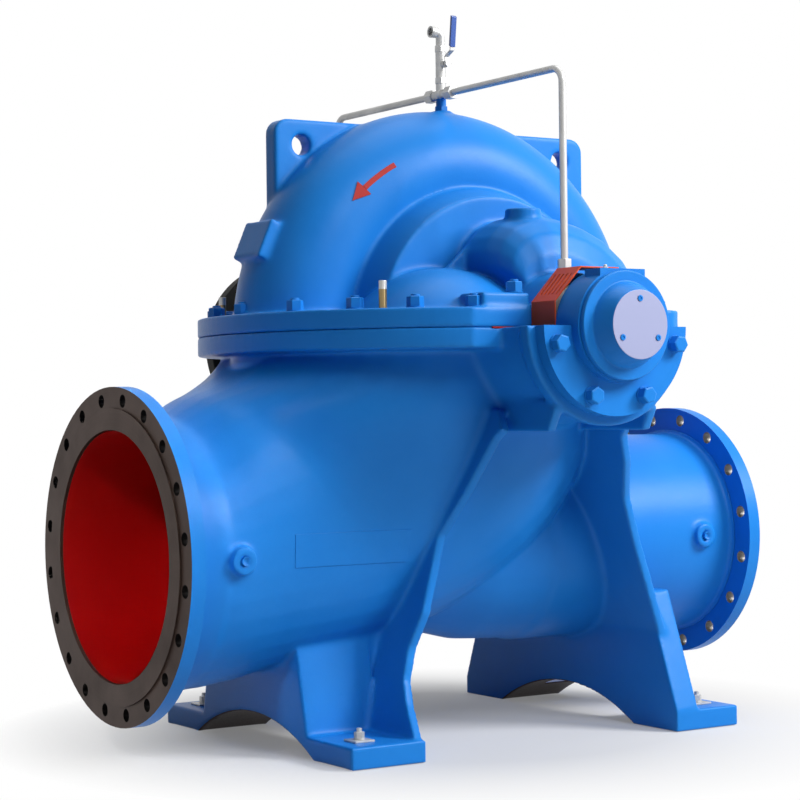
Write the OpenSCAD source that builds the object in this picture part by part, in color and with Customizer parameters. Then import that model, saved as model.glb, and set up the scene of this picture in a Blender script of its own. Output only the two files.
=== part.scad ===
// Horizontal split case pump: double suction casing split at the shaft line, on cast feet.
// Frame: X along the flow (suction at -X), Y along the shaft (drive end at +Y), Z up,
// origin on the floor at the centre of the foundation bolts.

/* [Shaft line] */
// Height of the shaft above the floor
shaft_z = 840; // [810:1:870]
// Diameter of the shaft in its bearings
journal_d = 90; // [80:1:96]
// Diameter of the shaft sleeve through the casing
sleeve_d = 116; // [106:1:120]
// Radial running clearance in the bearings
bearing_gap = 0.05; // [0.02:0.01:0.09]
// Radial clearance round turning pieces elsewhere
turning_gap = 6; // [5:0.5:8]

/* [Suction nozzle] */
// Distance of the suction flange face from the shaft
suction_x = 795; // [775:1:820]
// Height of the suction centre line
suction_z = 400; // [392:1:408]
// Bore of the suction nozzle
suction_bore_d = 500; // [480:1:510]
// Wall of the suction neck
suction_wall = 25; // [20:1:30]
// Diameter of the suction flange
suction_flange_d = 670; // [665:1:690]
// Bolt circle of the suction flange
suction_pcd = 620; // [615:1:625]
// Bolt holes of the suction flange
suction_holes = 20; // [16:4:20]

/* [Discharge nozzle] */
// Distance of the discharge flange face from the shaft
discharge_x = 655; // [640:1:690]
// Height of the discharge centre line
discharge_z = 396; // [390:1:404]
// Bore of the discharge nozzle
discharge_bore_d = 400; // [385:1:405]
// Wall of the discharge neck
discharge_wall = 23; // [18:1:26]
// Diameter of the discharge flange
discharge_flange_d = 565; // [560:1:580]
// Bolt circle of the discharge flange
discharge_pcd = 515; // [512:1:518]
// Bolt holes of the discharge flange
discharge_holes = 16; // [12:4:16]

/* [Nozzle flanges] */
// Thickness of the nozzle flanges
nozzle_flange_t = 34; // [28:1:40]
// Diameter of the nozzle bolt holes
nozzle_hole_d = 26; // [22:1:28]
// Height of the raised sealing face
raised_face_h = 4; // [3:0.5:6]
// Width of the bolt ring outside the raised face
raised_face_margin = 42; // [40:1:44]

/* [Casing] */
// Radius of the split flanges in plan
split_r = 532; // [525:1:540]
// Half width of the split flanges along the shaft
split_half_y = 470; // [464:1:476]
// Slanted edges of the split flange on the discharge side, from the middle
split_cut = 478; // [472:1:484]
// Thickness of each split flange
split_t = 40; // [36:1:46]
// Radius of the volute centre line
volute_ring_r = 352; // [346:1:358]
// Radius of the volute tube
volute_tube_r = 133; // [128:1:136]
// Sideways offset of the volute centre, towards suction
volute_off_x = 16; // [10:1:22]
// Radius of the suction chamber cheek at its root
cheek_r = 312; // [308:1:316]
// Radius of the flat end of the cheek
cheek_end_r = 287; // [282:1:292]
// Half width of the casing over the cheeks
cheek_half_y = 200; // [194:1:206]

/* [Suction chamber] */
// Half width of the suction chamber at the split flange
chamber_half_y = 390; // [380:1:396]
// Distance from the suction face to the bend of the chamber
chamber_lead = 105; // [95:1:115]
// Depth of the valley between the two suction lobes
lobe_valley = 60; // [40:1:80]
// Reach of the suction lobes past the shaft
lobe_reach = 306; // [298:1:312]
// Top of the upper lobe above the shaft
upper_lobe_h = 242; // [236:1:250]
// Radius of the small dome over the inlet
dome_r = 230; // [220:1:240]

/* [Bearing brackets] */
// Outer radius of the bracket ring
bracket_r = 194; // [188:1:200]
// Length of the open trough past the split flange
trough_len = 99; // [94:1:106]
// Thickness of the bracket ring
bracket_ring_t = 29; // [25:1:34]
// Inner radius of the open trough
trough_r = 100; // [96:1:104]

/* [Bearings] */
// Radius of the bearing housing flange
housing_flange_r = 175; // [170:1:180]
// Thickness of the bearing housing flange
housing_flange_t = 27; // [24:1:32]
// Radius of the bearing housing barrel
housing_r = 110; // [106:1:114]
// Length of the bearing housing past the bracket
housing_len = 48; // [44:1:54]
// Thickness of the bearing cover ring
cover_t = 12; // [10:1:16]
// Length of the cover nose past the housing
nose_len = 51; // [46:1:56]
// Radius of the nose at its root
nose_root_r = 84; // [80:1:88]
// Radius of the nose at its tip
nose_tip_r = 67; // [64:1:70]

/* [Feet] */
// Distance of the outer ends of the foot pads from the shaft
foot_outer_x = 485; // [478:1:492]
// Distance of the inner ends of the foot pads from the shaft
foot_inner_x = 316; // [310:1:322]
// Half width over the foot pads
foot_half_y = 388; // [382:1:396]
// Thickness of the foot pads
foot_pad_t = 43; // [38:1:48]
// Half span of the arch between the pads
arch_half_y = 241; // [234:1:248]
// Height of the arch
arch_h = 68; // [60:1:74]
// Thickness of the slanted rib plates
rib_t = 21; // [18:1:26]
// Distance of the rib tops from the shaft
rib_top_x = 147; // [140:1:154]
// Thickness of the upright plate under the discharge nozzle
post_t = 59; // [54:1:64]
// Diameter of the foundation bolt holes
foot_hole_d = 24; // [20:1:28]
// Foundation bolt spacing along the flow
foot_bolt_x = 854; // [846:1:862]
// Foundation bolt spacing along the shaft
foot_bolt_y = 644; // [636:1:652]

/* [Lifting plate] */
// Half length of the lifting plate
lift_half_x = 402; // [396:1:408]
// Top of the lifting plate
lift_top_z = 1293; // [1286:1:1300]
// Thickness of the lifting plate
lift_t = 44; // [38:1:50]
// Distance of the lifting plate behind the volute centre
lift_y = 44; // [38:1:50]
// Diameter of the lifting holes
lift_hole_d = 44; // [38:1:50]

/* [Flush lines] */
// Outer diameter of the flush pipe
pipe_d = 15; // [12:0.5:18]
// Height of the flush line over the casing top
flush_rise = 40; // [36:1:46]
// Distance of the flush drops inside the split flange's end
drop_in = 37; // [33:1:42]
// Bend radius of the flush pipe
bend_r = 30; // [24:1:40]

/* [Seal guards] */
// Half width of the seal guard at its feet
guard_half_x = 111; // [108:1:114]
// Sheet thickness of the seal guard
guard_t = 3; // [2:0.5:4]
// Height of the guard's flat top above the shaft
guard_h = 118; // [114:1:122]

/* [Coupling] */
// Radius of the coupling disc
coupling_r = 200; // [194:1:206]
// Distance of the coupling disc past the cover nose
coupling_gap = 28; // [24:1:34]
// Thickness of the coupling disc
coupling_t = 34; // [30:1:40]
// Radius of the coupling's pin circle
pin_circle_r = 160; // [154:1:166]
// Diameter of the coupling's pin holes
pin_hole_d = 36; // [30:1:40]

/* [Hidden] */
$fn = 64;

casing_blue = "#1f66b8";
bare_steel = "#c9c9c4";
guard_orange = "#d9481f";

suction_neck_d = suction_bore_d + 2 * suction_wall;
discharge_neck_d = discharge_bore_d + 2 * discharge_wall;
bracket_y = split_half_y + trough_len;
housing_y = bracket_y + housing_len;
nose_y = housing_y + nose_len;
coupling_y = nose_y + coupling_gap;
drop_y = split_half_y - drop_in;
volute_out_r = volute_ring_r + volute_tube_r;
volute_top_z = shaft_z + volute_out_r;
casing_bore_r = sleeve_d / 2 + turning_gap;
core_r = casing_bore_r - 20;
fit_gap = 0.05;
big = 3000;

// A round bar along Y between two stations, on the shaft line unless placed elsewhere
module bar_y(r, y0, y1, x = 0, z = shaft_z) {
    translate([x, y0, z]) rotate([-90, 0, 0]) cylinder(r = r, h = y1 - y0);
}

// A round bar along X between two stations at one height
module bar_x(r, x0, x1, z) {
    translate([x0, 0, z]) rotate([0, 90, 0]) cylinder(r = r, h = x1 - x0);
}

// A profile of [radius, station] points turned about the shaft line
module turned(points) {
    translate([0, 0, shaft_z]) rotate([-90, 0, 0]) rotate_extrude() polygon(points);
}

// A flat profile turned half round the shaft line, above or below the split plane
module half_turned(upper, x = 0) {
    translate([x, 0, shaft_z]) rotate([-90, 0, 0]) rotate([0, 0, upper ? 180 : 0])
        rotate_extrude(angle = 180) children();
}
module half_bar(upper, r, y0, y1) {
    half_turned(upper) translate([core_r, y0]) square([r - core_r, y1 - y0]);
}

// Everything below the split plane
module below_split() {
    translate([-big / 2, -big / 2, shaft_z - big]) cube([big, big, big]);
}

// The same piece at the free end (-Y) and, mirrored, at the drive end
module both_ends() {
    children();
    mirror([0, 1, 0]) children();
}

// A skin through closed rings that all have the same number of points
module skin(rings) {
    n = len(rings[0]);
    last = len(rings) - 1;
    points = [for (ring = rings) for (p = ring) p];
    sides = [for (k = [0 : last - 1]) for (i = [0 : n - 1]) let (j = (i + 1) % n)
        each [[k * n + i, k * n + j, (k + 1) * n + j], [k * n + i, (k + 1) * n + j, (k + 1) * n + i]]];
    near_cap = [for (i = [n - 1 : -1 : 0]) i];
    far_cap = [for (i = [0 : n - 1]) last * n + i];
    polyhedron(points, concat(sides, [near_cap, far_cap]));
}

function smooth_step(t) = let (c = max(0, min(1, t))) c * c * (3 - 2 * c);
function mix(a, b, t) = a + (b - a) * t;
function signed_power(v, p) = sign(v) * pow(abs(v), p);

// Suction chamber: rings that swing from the nozzle's upright circle up to the split flange.
// Each ring is a superellipse, squarer half way round the bend, with a valley between the lobes.
chamber_pivot_x = -(suction_x - chamber_lead);
chamber_pivot_z = shaft_z - split_t;
chamber_steps = 18;
chamber_end_a = 92;
chamber_back_x = -478;
chamber_bulge = 54;
neck_step = 3;
ring_points = 40;
function chamber_inner(a) = let (start = chamber_pivot_z - suction_z - suction_neck_d / 2 + neck_step)
    mix(start, chamber_back_x - chamber_pivot_x, a / 90) - chamber_bulge * sin(2 * a);
function chamber_outer(a) = let (start = chamber_pivot_z - suction_z + suction_neck_d / 2 - neck_step)
    mix(start, lobe_reach - chamber_pivot_x, smooth_step((a - 13) / 73));
function chamber_wide(a) = mix(suction_neck_d / 2 - neck_step, chamber_half_y, smooth_step((a - 38) / 45));
function chamber_ring(a) = let (
        inner = chamber_inner(a), outer = chamber_outer(a),
        mid = (inner + outer) / 2, half = (outer - inner) / 2,
        wide = chamber_wide(a), square = 1 - 0.2 * smooth_step(a / 40) + 0.1 * smooth_step((a - 60) / 30))
    [for (i = [0 : ring_points - 1]) let (
        t = -360 * i / ring_points, y = wide * signed_power(sin(t), square),
        valley = max(0, cos(t)) * lobe_valley * smooth_step((a - 10) / 50) * pow(max(0, 1 - abs(y) / 150), 2),
        d = mid + half * signed_power(cos(t), square) - valley)
        [chamber_pivot_x + d * sin(a), y, chamber_pivot_z - d * cos(a)]];
module suction_chamber() {
    skin([for (k = [0 : chamber_steps]) chamber_ring(chamber_end_a * k / chamber_steps)]);
}

// Lower volute: the tube grows from the left of the split plane round the bottom into the nozzle.
volute_steps = 10;
function volute_section(centre_x, centre_z, r, a) =
    [for (i = [0 : ring_points - 1]) let (t = -360 * i / ring_points)
    [centre_x + r * cos(t) * cos(a), r * sin(t), centre_z + r * cos(t) * sin(a)]];
function growing_ring(k) = let (s = k / volute_steps, a = 181 + 89 * s,
        r = mix(volute_tube_r, discharge_neck_d / 2 - 4 * neck_step, s),
        centre_r = mix(volute_ring_r, shaft_z - discharge_z, s))
    volute_section(-volute_off_x * (1 - s) + centre_r * cos(a), shaft_z + centre_r * sin(a), r, a);
throat_x = 150;
module lower_volute() {
    throat = volute_section(throat_x, discharge_z, discharge_neck_d / 2 - neck_step, 270);
    skin(concat([for (k = [0 : volute_steps]) growing_ring(k)], [throat]));
}

// Wheel chamber and cheeks of one half
wheel_half_y = 100;
module wheel_chamber(upper) {
    half_turned(upper) polygon([[core_r, -cheek_half_y], [cheek_end_r, -cheek_half_y], [cheek_r, -120],
        [volute_ring_r - 8, -wheel_half_y], [volute_ring_r - 8, wheel_half_y], [cheek_r, 120],
        [cheek_end_r, cheek_half_y], [core_r, cheek_half_y]]);
}

// Volute ring: half round above the split plane, a quarter below it on the discharge side
module volute_ring(upper) {
    translate([-volute_off_x, 0, shaft_z]) rotate([-90, 0, 0]) rotate([0, 0, upper ? 180 : 0])
        rotate_extrude(angle = upper ? 180 : 90) translate([volute_ring_r, 0]) circle(r = volute_tube_r);
}

// Split flange in plan: a disc cut straight in front of the stuffing boxes and aslant beside the discharge
split_cut_a = 33;
module split_plate(z0) {
    difference() {
        intersection() {
            translate([0, 0, z0]) cylinder(r = split_r, h = split_t, $fn = 128);
            translate([-big / 2, -split_half_y, z0]) cube([big, 2 * split_half_y, split_t]);
        }
        for (side = [-1, 1]) rotate([0, 0, side * split_cut_a])
            translate([split_cut, -big / 2, z0 - 1]) cube([big, big, split_t + 2]);
    }
}

// Bolt holes on a circle round a nozzle, straddling the vertical
module nozzle_drill(x0, x1, z, pcd, count) {
    for (i = [0 : count - 1]) let (a = 360 * (i + 0.5) / count)
        translate([x0, pcd / 2 * sin(a), z + pcd / 2 * cos(a)]) rotate([0, 90, 0])
            cylinder(d = nozzle_hole_d, h = x1 - x0);
}

// Passage of a nozzle: a bore that ends in a ball
module passage(x0, x1, end_x, z, bore_d) {
    bar_x(bore_d / 2, x0, x1, z);
    translate([end_x, 0, z]) sphere(d = bore_d);
}

suction_back_x = suction_x - nozzle_flange_t;
discharge_back_x = discharge_x - nozzle_flange_t;
suction_end_x = -600;
discharge_end_x = 240;
module suction_nozzle() {
    bar_x(suction_flange_d / 2, -(suction_x - raised_face_h), -suction_back_x, suction_z);
    bar_x(suction_flange_d / 2 - raised_face_margin, -suction_x, -suction_back_x, suction_z);
    bar_x(suction_neck_d / 2, -suction_back_x - 1, chamber_pivot_x + 4 * neck_step, suction_z);
}
module discharge_nozzle() {
    bar_x(discharge_flange_d / 2, discharge_back_x, discharge_x - raised_face_h, discharge_z);
    bar_x(discharge_flange_d / 2 - raised_face_margin, discharge_back_x, discharge_x, discharge_z);
    bar_x(discharge_neck_d / 2, throat_x - 10, discharge_back_x + 1, discharge_z);
}

// Gauge boss on the side of a nozzle, drilled for a plug
gauge_boss_r = 27;
gauge_hole_r = 9;
gauge_boss_out = 14;
gauge_root = 60;
gauge_hole_depth = 20;
module gauge_boss(x, z, neck_d) {
    bar_y(gauge_boss_r, -neck_d / 2 - gauge_boss_out, -neck_d / 2 + gauge_root, x = x, z = z);
}
module gauge_drill(x, z, neck_d) {
    bar_y(gauge_hole_r, -neck_d / 2 - gauge_boss_out - 1, -neck_d / 2 + gauge_hole_depth, x = x, z = z);
}
suction_gauge_x = -(suction_x - 141);
discharge_gauge_x = discharge_x - 120;

// Bearing bracket: half-round trough under the shaft, flaring back into the casing
bracket_root_y = split_half_y - 70;
bracket_flare = 30;
bracket_neck = 14;
module bracket() {
    flare_r = bracket_r + bracket_flare;
    ring_y = bracket_y - bracket_ring_t;
    half_turned(false) polygon([[core_r, -bracket_y], [bracket_r, -bracket_y], [bracket_r, -ring_y],
        [bracket_r - bracket_neck, -ring_y + bracket_neck], [bracket_r - 4, -bracket_root_y],
        [flare_r, -bracket_root_y + 100], [flare_r, -150], [core_r, -150]]);
}
module trough() {
    bar_y(trough_r, -bracket_y - 1, -split_half_y);
}

// Foot: pads, post under the nozzle and the slanted rib plate, for one side of the pump.
// Half outlines are [half width, height] points up one edge.
arch_r = (arch_half_y * arch_half_y + arch_h * arch_h) / (2 * arch_h);
rib_top_z = shaft_z - 220;
rib_in = 2;
bracket_low_z = shaft_z - bracket_r - 9;
rib_end = [[bracket_y - 129, bracket_low_z], [bracket_y - 160, bracket_low_z + 40]];
web_x = 106;
web_edge = [[bracket_y - 29, bracket_low_z], [bracket_y - 4, bracket_low_z + 45],
    [bracket_y - 49, bracket_low_z + 63]];
suction_rib = concat([[foot_half_y - 8, foot_pad_t], [328, 99], [297, 144], [290, 206], [310, 275],
    [304, 426], [362, 513], [419, rib_top_z]], rib_end);
discharge_rib = concat([[330, 200], [339, 299], [347, 400], [361, 490], [405, 569], [420, rib_top_z]],
    rib_end);
suction_post = [[228, 0], [180, 230]];
discharge_post = [[foot_half_y, 0], [foot_half_y, foot_pad_t], [295, 290]];

function both_edges(edge) =
    concat([for (p = edge) [-p[0], p[1]]], [for (i = [len(edge) - 1 : -1 : 0]) edge[i]]);
module upright(edge, t) {
    rotate([90, 0, 90]) linear_extrude(t) polygon(both_edges(edge));
}
module rib_plate(edge) {
    z0 = edge[0][1];
    slant = atan((foot_inner_x - rib_top_x) / (rib_top_z - z0));
    rise = [for (p = edge) [p[0], (p[1] - z0) / cos(slant)]];
    translate([foot_inner_x + rib_in, 0, z0]) rotate([0, -slant, 0])
        upright(concat([[edge[0][0], -rib_t]], rise), rib_t);
}
module foot(rib, post, t) {
    difference() {
        union() {
            rib_plate(rib);
            translate([web_x, 0, 0]) upright(web_edge, rib_t);
            translate([foot_inner_x, 0, 0]) upright(post, t);
            translate([foot_inner_x, -foot_half_y, 0])
                cube([foot_outer_x - foot_inner_x, 2 * foot_half_y, foot_pad_t]);
        }
        translate([0, 0, arch_h - arch_r]) rotate([0, 90, 0]) cylinder(r = arch_r, h = big, $fn = 128);
        for (side = [-1, 1]) translate([foot_bolt_x / 2, side * foot_bolt_y / 2, -1])
            cylinder(d = foot_hole_d, h = foot_pad_t + 2);
    }
}

dowel_r = 8;
dowel_h = 55;
dowel_places = [[-366, -330], [-366, 330]];
module dowel_drill() {
    for (p = dowel_places) translate([p[0], p[1], shaft_z - split_t - 1])
        cylinder(r = dowel_r + fit_gap, h = 2 * split_t + 2);
}

module lower_casing() color(casing_blue) {
    difference() {
        union() {
            suction_nozzle();
            discharge_nozzle();
            suction_chamber();
            lower_volute();
            wheel_chamber(false);
            volute_ring(false);
            split_plate(shaft_z - split_t);
            both_ends() bracket();
            mirror([1, 0, 0]) foot(suction_rib, suction_post, foot_outer_x - foot_inner_x);
            foot(discharge_rib, discharge_post, post_t);
            gauge_boss(suction_gauge_x, suction_z, suction_neck_d);
            gauge_boss(discharge_gauge_x, discharge_z, discharge_neck_d);
        }
        passage(-suction_x - 1, suction_end_x, suction_end_x, suction_z, suction_bore_d);
        passage(discharge_end_x, discharge_x + 1, discharge_end_x, discharge_z, discharge_bore_d);
        nozzle_drill(-suction_x - 1, -suction_back_x + 1, suction_z, suction_pcd, suction_holes);
        nozzle_drill(discharge_back_x - 1, discharge_x + 1, discharge_z, discharge_pcd, discharge_holes);
        bar_y(casing_bore_r, -bracket_y - 1, bracket_y + 1);
        both_ends() trough();
        gauge_drill(suction_gauge_x, suction_z, suction_neck_d);
        gauge_drill(discharge_gauge_x, discharge_z, discharge_neck_d);
        dowel_drill();
    }
}

// Upper suction lobe: wraps from the split plane over the shaft and closes in a round end
lobe_steps = 12;
lobe_start_a = 3;
lobe_end_a = 130;
lobe_round_a = 50;
lobe_points = 18;
lobe_root_r = 60;
lobe_end_r = 130;
lobe_mid_y = split_half_y - 205;
lobe_half_y = 135;
function lobe_fade(a) =
    let (t = max(0, (a - lobe_end_a + lobe_round_a) / lobe_round_a)) sqrt(max(0, 1 - t * t));
function lobe_ring(k) = let (a = mix(lobe_start_a, lobe_end_a, 1 - pow(1 - k / lobe_steps, 1.5)),
        full = mix(lobe_reach, upper_lobe_h, smooth_step(a / 90)),
        reach = mix(lobe_end_r, full, lobe_fade(a)))
    [for (i = [0 : lobe_points - 1]) let (t = 360 * i / lobe_points,
        r = mix(lobe_root_r, reach, max(0, signed_power(sin(t), 0.6))),
        y = -lobe_mid_y + lobe_half_y * signed_power(cos(t), 0.8))
        [r * cos(a), y, shaft_z + r * sin(a)]];
lobe_boss_r = 37;
lobe_boss_h = 10;
lobe_boss_y = split_half_y - 175;
module upper_lobe() {
    skin([for (k = [0 : lobe_steps]) lobe_ring(k)]);
    translate([0, -lobe_boss_y, shaft_z + lobe_end_r])
        cylinder(r = lobe_boss_r, h = upper_lobe_h + lobe_boss_h - lobe_end_r);
}

stuffing_r = 112;
seal_boss_r = 20;
seal_boss_h = 4;
seal_top_z = shaft_z + stuffing_r + seal_boss_h;
stud_boss_x = 110;
stud_boss_w = 112;
stud_boss_l = 80;
stud_boss_h = 69;
module stuffing_box() {
    root = 30;
    half_bar(true, stuffing_r, -split_half_y, -150);
    translate([0, -drop_y, seal_top_z - seal_boss_h - root])
        cylinder(r = seal_boss_r, h = seal_boss_h + root);
    for (x = [-stud_boss_x - stud_boss_w, stud_boss_x]) translate([x, -split_half_y + 6, shaft_z])
        cube([stud_boss_w, stud_boss_l, stud_boss_h]);
}

// Small dome over the inlet side of each suction chamber, with a thin web up to the lobe
dome_x = -160;
dome_y = split_half_y - 245;
dome_h = 130;
web_t = 14;
module inlet_dome() {
    difference() {
        translate([dome_x, -dome_y, shaft_z + dome_h - dome_r]) sphere(r = dome_r);
        below_split();
    }
    translate([0, -dome_y + web_t / 2, shaft_z]) rotate([90, 0, 0]) linear_extrude(web_t)
        polygon([[dome_x + 12, dome_h - 12], [dome_x + 12, dome_h], [-86, dome_h + 56],
            [-40, dome_h + 20], [-60, 60]]);
}

// Flat pad on the suction-side shoulder of the volute
pad_a = 156.6;
pad_r = 497;
pad_half_y = 55;
pad_w = 84;
module shoulder_pad() {
    translate([-volute_off_x, 0, shaft_z]) rotate([0, -pad_a, 0])
        translate([volute_ring_r, -pad_half_y, -pad_w / 2])
            cube([pad_r - volute_ring_r, 2 * pad_half_y, pad_w]);
}

lift_low_z = shaft_z + 160;
lift_corner = 32;
lift_hole_in = 64;
lift_hole_down = 53;
module lifting_plate() {
    y0 = lift_y - lift_t / 2;
    inner_x = lift_half_x - lift_corner;
    difference() {
        translate([0, y0 + lift_t, 0]) rotate([90, 0, 0]) linear_extrude(lift_t) union() {
            translate([-lift_half_x, lift_low_z])
                square([2 * lift_half_x, lift_top_z - lift_corner - lift_low_z]);
            translate([-inner_x, lift_low_z]) square([2 * inner_x, lift_top_z - lift_low_z]);
            for (side = [-1, 1])
                translate([side * inner_x, lift_top_z - lift_corner]) circle(r = lift_corner);
        }
        for (side = [-1, 1])
            bar_y(lift_hole_d / 2, y0 - 1, y0 + lift_t + 1,
                x = side * (lift_half_x - lift_hole_in), z = lift_top_z - lift_hole_down);
    }
}

vent_boss_r = 23;
vent_boss_top = volute_top_z + 4;
module upper_casing() color(casing_blue) {
    difference() {
        union() {
            wheel_chamber(true);
            volute_ring(true);
            both_ends() stuffing_box();
            both_ends() inlet_dome();
            split_plate(shaft_z);
            both_ends() upper_lobe();
            shoulder_pad();
            lifting_plate();
            translate([0, 0, shaft_z + volute_ring_r])
                cylinder(r = vent_boss_r, h = vent_boss_top - shaft_z - volute_ring_r);
        }
        bar_y(casing_bore_r, -bracket_y - 1, bracket_y + 1);
        dowel_drill();
    }
}

module dowel_pins() color(bare_steel) {
    for (p = dowel_places) translate([p[0], p[1], shaft_z - split_t])
        cylinder(r = dowel_r, h = 2 * split_t + dowel_h);
}

// Bearing housing: half flange on the bracket ring, full barrel with a flat greasing pad
housing_back_y = bracket_y - 22;
module bearing_housing() {
    difference() {
        union() {
            half_bar(false, housing_flange_r, -bracket_y - housing_flange_t, -bracket_y);
            bar_y(housing_r, -housing_y, -bracket_y);
            half_bar(true, housing_r, -bracket_y - 5, -housing_back_y);
            translate([-55, -housing_y, shaft_z]) cube([110, housing_y - bracket_y, housing_r]);
        }
        bar_y(journal_d / 2 + bearing_gap, -housing_y - 1, -housing_back_y + 1);
    }
}
module bearing_housing_front() color(casing_blue) bearing_housing();
module bearing_housing_rear() color(casing_blue) mirror([0, 1, 0]) bearing_housing();

// Bearing cover: ring on the housing end with a tapered nose
cover_r = housing_r - 4;
module bearing_cover() {
    difference() {
        turned([[0, -nose_y], [nose_tip_r, -nose_y], [nose_root_r, -housing_y - cover_t],
            [cover_r, -housing_y - cover_t], [cover_r, -housing_y], [0, -housing_y]]);
        bar_y(journal_d / 2 + turning_gap, -nose_y - 1, -housing_y + 1);
    }
}
module bearing_cover_front() color(casing_blue) bearing_cover();
module bearing_cover_rear() color(casing_blue) mirror([0, 1, 0]) bearing_cover();

plate_t = 3;
module end_plate() color(bare_steel) {
    bar_y(nose_tip_r - 0.5, -nose_y - plate_t, -nose_y);
}

// Seal gland: ring on the end of the stuffing box
gland_t = 16;
gland_r = trough_r - 12;
module gland() {
    difference() {
        bar_y(gland_r, -split_half_y - gland_t, -split_half_y);
        bar_y(casing_bore_r, -split_half_y - gland_t - 1, -split_half_y + 1);
    }
}
module gland_front() color(bare_steel) gland();
module gland_rear() color(bare_steel) mirror([0, 1, 0]) gland();

shaft_front_y = -nose_y + turning_gap;
hub_len = 84;
shaft_rear_y = coupling_y + hub_len;
sleeve_y = split_half_y + 40;
module shaft() color(bare_steel) {
    bar_y(journal_d / 2, shaft_front_y, shaft_rear_y);
    bar_y(sleeve_d / 2, -sleeve_y, sleeve_y);
}

coupling_hub_r = 84;
coupling_pins = 8;
module coupling_hub() color("#17181a") {
    difference() {
        union() {
            bar_y(coupling_r, coupling_y, coupling_y + coupling_t);
            bar_y(coupling_hub_r, coupling_y, shaft_rear_y - 4);
        }
        bar_y(journal_d / 2 + fit_gap, coupling_y - 1, shaft_rear_y);
        for (i = [0 : coupling_pins - 1]) let (a = 360 * i / coupling_pins)
            bar_y(pin_hole_d / 2, coupling_y - 1, coupling_y + coupling_t + 1,
                x = pin_circle_r * cos(a), z = shaft_z + pin_circle_r * sin(a));
    }
}

function flipped(edge) = [for (i = [len(edge) - 1 : -1 : 0]) [-edge[i][0], edge[i][1]]];

// Seal guard: bent sheet over the open trough, slotted on its slopes
guard_slant_z = 50;
guard_top_x = 47;
guard_y0 = split_half_y;
guard_y1 = housing_back_y - 1;
guard_slots = 5;
module seal_guard() {
    outer = [[guard_half_x, 0], [guard_half_x, guard_slant_z], [guard_top_x, guard_h]];
    in_x = guard_half_x - guard_t;
    inner = [[guard_top_x - 1, guard_h - guard_t], [in_x, guard_slant_z - 1], [in_x, 0]];
    tilt = atan((guard_h - guard_slant_z) / (guard_half_x - guard_top_x));
    pitch = (guard_y1 - guard_y0) / (guard_slots + 1);
    translate([0, -guard_y0, shaft_z]) difference() {
        rotate([90, 0, 0]) linear_extrude(guard_y1 - guard_y0)
            polygon(concat(outer, flipped(outer), flipped(inner), inner));
        for (side = [-1, 1]) for (i = [1 : guard_slots])
            translate([side * (guard_half_x + guard_top_x) / 2, -i * pitch, (guard_slant_z + guard_h) / 2])
                rotate([0, side * tilt, 0]) translate([-28, -2.5, -12]) cube([56, 5, 24]);
    }
}
module seal_guard_front() color(guard_orange) seal_guard();
module seal_guard_rear() color(guard_orange) mirror([0, 1, 0]) seal_guard();

// Vent and flush fittings on top of the casing
flush_z = volute_top_z + flush_rise;
fitting_r = 11;
arm = 24;
module vent_nipple() color(casing_blue) {
    translate([0, 0, vent_boss_top]) cylinder(r = fitting_r, h = flush_z - arm - vent_boss_top);
    translate([0, 0, vent_boss_top]) cylinder(r = 15, h = 10, $fn = 6);
}
module pipe_cross() color(bare_steel) {
    translate([0, 0, flush_z - arm]) cylinder(r = fitting_r, h = 2 * arm);
    bar_y(fitting_r, -arm, arm, z = flush_z);
    translate([0, 0, flush_z]) sphere(r = fitting_r + 3);
}
valve_z = flush_z + arm;
valve_h = 82;
collar_h = 13;
stem_z = valve_z + valve_h / 2;
bonnet_y = 20;
bonnet_r = 7;
stem_r = 3;
lever_t = 3;
lever_w = 10;
lever_gap = 0.5;
lever_y = bonnet_y + lever_gap + lever_t;
module ball_valve() color(bare_steel) {
    for (z = [valve_z, valve_z + valve_h - collar_h])
        translate([0, 0, z]) cylinder(r = fitting_r + 2.5, h = collar_h, $fn = 6);
    translate([0, 0, valve_z]) cylinder(r = fitting_r, h = valve_h);
    bar_y(bonnet_r, -bonnet_y, 0, z = stem_z);
    bar_y(stem_r, -lever_y - 7, 0, z = stem_z);
    bar_y(bonnet_r, -lever_y - 7, -lever_y - lever_gap, z = stem_z);
}

// Lever: flat strip on the stem, bent outwards, then up along the pipe when open.
// A side line of [y, z] points is thickened towards the valve.
lever_step = 22;
lever_rise = 14;
lever_lean = 8;
lever_len = 94;
lever_bend = [-lever_y - lever_step, stem_z + lever_rise + lever_step / 2];
lever_tip = [-lever_y - lever_step - lever_lean, stem_z + lever_len];
lever_line = [[-lever_y, stem_z - 10], [-lever_y, stem_z + lever_rise], lever_bend, lever_tip];
module side_strip(line, t, w) {
    back = [for (i = [len(line) - 1 : -1 : 0]) line[i] + t * [1, 0.6]];
    translate([-w / 2, 0, 0]) rotate([90, 0, 90]) linear_extrude(w) polygon(concat(line, back));
}
module valve_lever() color(bare_steel) difference() {
    side_strip(lever_line, lever_t, lever_w);
    bar_y(stem_r + bearing_gap, -lever_y - 1, -bonnet_y + 2, z = stem_z);
}
grip_wall = 1.5;
grip_from = 0.1;
module lever_grip() color("#2b45c4") {
    along = lever_tip - lever_bend;
    out = [-grip_wall, 0];
    line = [lever_bend + grip_from * along + out, lever_tip + along * 2 * grip_wall / lever_len + out];
    difference() {
        side_strip(line, lever_t + 2 * grip_wall, lever_w + 2 * grip_wall);
        side_strip(lever_line, lever_t, lever_w);
    }
}

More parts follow.
